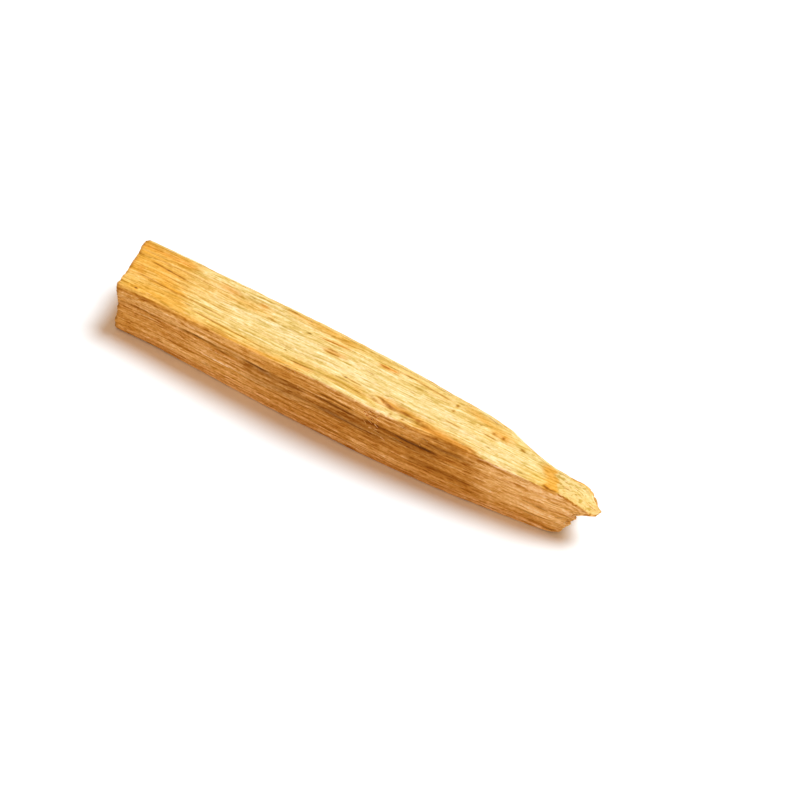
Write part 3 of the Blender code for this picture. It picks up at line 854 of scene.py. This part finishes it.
class Nodes:
    """Short names for making and joining a material's nodes."""

    def __init__(self, material):
        material.use_nodes = True
        self.tree = material.node_tree
        self.shader = self.tree.nodes["Principled BSDF"]

    def new(self, kind, **settings):
        node = self.tree.nodes.new(kind)
        for name, value in settings.items():
            setattr(node, name, value)
        return node

    def link(self, source, target):
        self.tree.links.new(source, target)

    def attribute(self, name, vector=False):
        node = self.new("ShaderNodeAttribute", attribute_name=name)
        return node.outputs["Vector" if vector else "Fac"]

    def math(self, operation, first, second=None):
        node = self.new("ShaderNodeMath", operation=operation)
        for socket, value in zip(node.inputs, (first, second)):
            if value is None:
                continue
            if isinstance(value, (int, float)):
                socket.default_value = value
            else:
                self.link(value, socket)
        return node.outputs[0]

    def times(self, first, second):
        return self.math("MULTIPLY", first, second)

    def ramp(self, source, low, high, to_low=0.0, to_high=1.0):
        """A smooth step from one value to the other between low and high."""
        node = self.new("ShaderNodeMapRange", interpolation_type="SMOOTHSTEP")
        self.link(source, node.inputs["Value"])
        for name, value in (("From Min", low), ("From Max", high), ("To Min", to_low), ("To Max", to_high)):
            node.inputs[name].default_value = value
        return node.outputs[0]

    def fibres(self, place, lengthwise, across, detail, offset):
        """Noise drawn out along the fibres. Sizes are in metres."""
        scaled = self.new("ShaderNodeMapping")
        self.link(place, scaled.inputs["Vector"])
        scaled.inputs["Scale"].default_value = (1 / lengthwise, 1 / across, 1 / across)
        scaled.inputs["Location"].default_value = (offset, offset * 0.37, offset * 0.71)
        node = self.new("ShaderNodeTexNoise")
        self.link(scaled.outputs[0], node.inputs["Vector"])
        node.inputs["Scale"].default_value = 1.0
        node.inputs["Detail"].default_value = detail
        node.inputs["Roughness"].default_value = 0.5
        return node.outputs["Fac"]

    def rings(self, place, middle, width):
        """Noise that changes only with the distance from the tree's middle, at (y, z), in metres."""
        scaled = self.new("ShaderNodeMapping")
        self.link(place, scaled.inputs["Vector"])
        scaled.inputs["Scale"].default_value = (0.0, 1 / width, 1 / width)
        scaled.inputs["Location"].default_value = (0.0, -middle[0] / width, -middle[1] / width)
        distance = self.new("ShaderNodeVectorMath", operation="LENGTH")
        self.link(scaled.outputs[0], distance.inputs[0])
        node = self.new("ShaderNodeTexNoise", noise_dimensions="1D")
        self.link(distance.outputs["Value"], node.inputs["W"])
        node.inputs["Scale"].default_value = 1.0
        node.inputs["Detail"].default_value = 1.0
        return node.outputs["Fac"]

    def spread(self, source, strength):
        """Turns a noise's output into a tone around 0."""
        return self.times(self.math("SUBTRACT", source, 0.5), strength)

    def total(self, *values):
        """The sum of all the values."""
        result = values[0]
        for value in values[1:]:
            result = self.math("ADD", result, value)
        return result

    def mix(self, factor, first, second, kind="MIX"):
        node = self.new("ShaderNodeMix", data_type="RGBA", blend_type=kind)
        sockets = [node.inputs[0], node.inputs[6], node.inputs[7]]
        for socket, value in zip(sockets, (factor, first, second)):
            if isinstance(value, (int, float)):
                socket.default_value = value
            elif isinstance(value, tuple):
                socket.default_value = (*value, 1.0)
            else:
                self.link(value, socket)
        return node.outputs[2]

    def power(self, colour, exponent):
        """The colour of a filter as thick as the exponent."""
        node = self.new("ShaderNodeGamma")
        node.inputs["Color"].default_value = (*colour, 1.0)
        self.link(exponent, node.inputs["Gamma"])
        return node.outputs[0]


# The wood's colours, as linear red, green and blue. The side colours are browner and darker than the top's:
# partly the wood's own cut, partly painted shade.
TOP_PALE = (0.790, 0.575, 0.225)
TOP_WHITE = (0.800, 0.600, 0.265)
TOP_MID = (0.770, 0.495, 0.135)
TOP_TORN = (0.700, 0.480, 0.165)
TOP_GOLD = (0.750, 0.350, 0.040)
ORANGE = (0.690, 0.290, 0.042)
SIDE_MID = (0.690, 0.325, 0.070)
SIDE_GOLD = (0.700, 0.322, 0.050)
SIDE_PINK = (0.920, 0.520, 0.165)
SIDE_PALE = (0.870, 0.560, 0.230)
TOP_BROWN = (0.330, 0.110, 0.016)
SIDE_BROWN = (0.200, 0.064, 0.010)
DARK = (0.110, 0.036, 0.009)
SAWN = (0.600, 0.320, 0.085)
AMBER = (0.960, 0.800, 0.300)  # a filter, as the next two are
TOP_FILTER = (0.81, 0.76, 0.53)  # what one step darker does to the colour of the top
SIDE_FILTER = (0.75, 0.61, 0.35)

# The grain's marks: how long and how wide they are, in metres, how detailed, and where their noise starts.
MARKS = {
    "layers": (0.070, 0.0034, 2.0, 0.0),
    "strands": (0.040, 0.0014, 2.0, 4.0),
    "lines": (0.0060, 0.00042, 1.0, 9.0),
    "side_lines": (0.0180, 0.00052, 1.0, 10.0),
    "longs": (0.034, 0.00058, 1.0, 12.0),
    "dashes": (0.0030, 0.00034, 1.0, 15.0),
    "rough": (0.0013, 0.00042, 1.0, 27.0),
    "grit": (0.00085, 0.00060, 1.0, 29.0),
    "dots": (0.00060, 0.00034, 1.0, 35.0),
    "threads": (0.024, 0.0013, 1.0, 33.0),
    "pores": (0.00050, 0.00020, 1.0, 39.0),
}
PITH = (0.006, -0.034)  # the tree's middle, across and up, in metres
RING_WIDTH = 0.00075
BASE_TONE = -0.45
BUMP_HEIGHT = 0.00006


def wood_material():
    """Split palo santo: pale and golden layers, fine brown fibres, pores, and browner sides that are partly
    painted shade.
    """
    material = bpy.data.materials.new("palo_santo_wood")
    nodes = Nodes(material)
    place = nodes.attribute("grain", vector=True)
    groove, side = nodes.attribute("groove"), nodes.attribute("side")
    torn, sawn = nodes.attribute("torn"), nodes.attribute("sawn")
    tint = {name: nodes.attribute(name) for name in TINTS}

    marks = {name: nodes.fibres(place, *sizes) for name, sizes in MARKS.items()}
    rings = nodes.rings(place, PITH, RING_WIDTH)
    thread_off = nodes.math("ABSOLUTE", nodes.math("SUBTRACT", marks["threads"], 0.5))
    thread = nodes.ramp(thread_off, 0.028, 0.006)
    thread = nodes.times(thread, nodes.ramp(marks["strands"], 0.42, 0.60))

    top = nodes.mix(nodes.ramp(marks["layers"], 0.36, 0.64), TOP_MID, TOP_PALE)
    top = nodes.mix(nodes.times(tint["gold"], 0.95), top, TOP_GOLD)
    top = nodes.mix(nodes.times(tint["pale"], 0.9), top, TOP_WHITE)
    top = nodes.mix(nodes.times(torn, 0.65), top, TOP_TORN)
    sides = nodes.mix(nodes.times(tint["gold"], 0.9), SIDE_MID, SIDE_GOLD)
    sides = nodes.mix(nodes.times(tint["pink"], 0.8), sides, SIDE_PINK)
    sides = nodes.mix(tint["pale"], sides, SIDE_PALE)
    # The sides' browner, darker colours are partly the wood's own and partly painted shade.
    colour = nodes.mix(side, top, sides)
    colour = nodes.mix(nodes.times(tint["orange"], 0.95), colour, ORANGE)
    colour = nodes.mix(tint["amber"], colour, AMBER, "MULTIPLY")
    brown = nodes.mix(side, TOP_BROWN, SIDE_BROWN)
    colour = nodes.mix(nodes.times(tint["brown"], 0.95), colour, brown)
    colour = nodes.mix(tint["dark"], colour, DARK)
    colour = nodes.mix(nodes.times(sawn, 0.8), colour, SAWN)

    top_grain = nodes.total(
        nodes.spread(marks["strands"], 0.3),
        nodes.ramp(marks["lines"], 0.39, 0.61, -0.28, 0.48),
        nodes.ramp(marks["longs"], 0.58, 0.66, 0.0, 0.6),
    )
    side_grain = nodes.total(
        nodes.spread(marks["strands"], 1.0),
        nodes.ramp(marks["side_lines"], 0.38, 0.62, -0.42, 0.34),
        nodes.ramp(marks["longs"], 0.57, 0.65, 0.0, 0.9),
    )
    dashes = nodes.ramp(marks["dashes"], 0.56, 0.65, 0.0, 0.9)
    # The grooves' depth darkens the colour: partly the darker fibres in them, partly painted shade in the
    # hollows.
    grain = nodes.total(
        nodes.times(top_grain, nodes.math("SUBTRACT", 1.0, side)),
        nodes.times(side_grain, side),
        nodes.times(dashes, nodes.ramp(side, 0.0, 1.0, 1.0, 1.3)),
        nodes.times(thread, 0.7),
        nodes.times(groove, 0.7),
    )
    calm = nodes.ramp(torn, 0.0, 1.0, 1.0, 0.3)
    for where, left in ((sawn, 0.35), (tint["pink"], 0.75), (tint["pale"], 0.8)):
        calm = nodes.times(calm, nodes.ramp(where, 0.0, 1.0, 1.0, left))
    end_grain = nodes.total(
        nodes.ramp(rings, 0.36, 0.64, -0.45, 0.65),
        nodes.ramp(marks["pores"], 0.56, 0.66, 0.0, 1.0),
    )
    tone = nodes.total(
        nodes.times(grain, calm),
        nodes.times(end_grain, sawn),
        nodes.times(nodes.ramp(marks["grit"], 0.53, 0.63, 0.0, 1.4), torn),
        nodes.times(nodes.spread(marks["dots"], 1.6), nodes.ramp(sawn, 0.0, 1.0, 1.0, 0.4)),
        nodes.times(nodes.spread(marks["rough"], 1.6), nodes.ramp(torn, 0.0, 1.0, 1.0, 0.5)),
        nodes.times(nodes.spread(marks["layers"], 1.3), side),
        BASE_TONE,
    )
    filter_colour = nodes.mix(side, nodes.power(TOP_FILTER, tone), nodes.power(SIDE_FILTER, tone))
    colour = nodes.mix(1.0, colour, filter_colour, "MULTIPLY")
    nodes.link(colour, nodes.shader.inputs["Base Color"])

    nodes.link(nodes.ramp(marks["strands"], 0.3, 0.7, 0.72, 0.55), nodes.shader.inputs["Roughness"])
    nodes.shader.inputs["Specular IOR Level"].default_value = 0.02
    bump = nodes.new("ShaderNodeBump", invert=True)
    bump.inputs["Strength"].default_value = 0.5
    bump.inputs["Distance"].default_value = BUMP_HEIGHT
    nodes.link(tone, bump.inputs["Height"])
    nodes.link(bump.outputs[0], nodes.shader.inputs["Normal"])
    return material


def add_floor():
    """A plain white floor under the stick."""
    mesh = bpy.data.meshes.new("floor")
    size = FLOOR_HALF_SIZE
    corners = [(-size, -size, 0), (size, -size, 0), (size, size, 0), (-size, size, 0)]
    mesh.from_pydata(corners, [], [(0, 1, 2, 3)])
    floor = add_object("floor", mesh)
    floor.location.z = -FLOOR_DROP
    material = bpy.data.materials.new("white_floor")
    material.use_nodes = True
    shader = material.node_tree.nodes["Principled BSDF"]
    shader.inputs["Base Color"].default_value = FLOOR_COLOUR
    shader.inputs["Roughness"].default_value = 0.9
    shader.inputs["Specular IOR Level"].default_value = 0.0
    mesh.materials.append(material)


def add_light():
    """A warm room around the stick, and a broad, cooler light from above and behind it."""
    world = bpy.data.worlds.new("room")
    bpy.context.scene.world = world
    world.use_nodes = True
    background = world.node_tree.nodes["Background"]
    background.inputs["Color"].default_value = ROOM_COLOUR
    background.inputs["Strength"].default_value = ROOM_STRENGTH
    sun = bpy.data.lights.new("key", "SUN")
    sun.energy = LIGHT_STRENGTH
    sun.angle = LIGHT_SPREAD
    sun.color = LIGHT_COLOUR
    key = add_object("key", sun)
    key.rotation_euler = LIGHT_FROM.to_track_quat("Z", "Y").to_euler()


def add_camera():
    """The camera at the photograph's viewing angle."""
    data = bpy.data.cameras.new("camera")
    data.lens = LENS
    data.sensor_width = SENSOR
    data.clip_start, data.clip_end = 0.01, 20.0
    camera = add_object("camera", data)
    level = math.cos(ELEVATION)
    back = Vector((math.sin(AZIMUTH) * level, -math.cos(AZIMUTH) * level, math.sin(ELEVATION)))
    camera.location = TARGET + back * DISTANCE
    camera.rotation_euler = back.to_track_quat("Z", "Y").to_euler()
    bpy.context.scene.camera = camera


def main():
    """Builds the stick and what surrounds it."""
    bpy.context.scene.view_settings.view_transform = "Standard"
    surface, around, reach = build_surface()
    stick = build_stick(surface, around, reach)
    loose = build_fibres(body_grid(surface, around))
    wood = wood_material()
    for piece in (stick, loose):
        piece.data.materials.append(wood)
        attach(piece, "root")
    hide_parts("stick")
    add_floor()
    add_light()
    add_camera()


main()
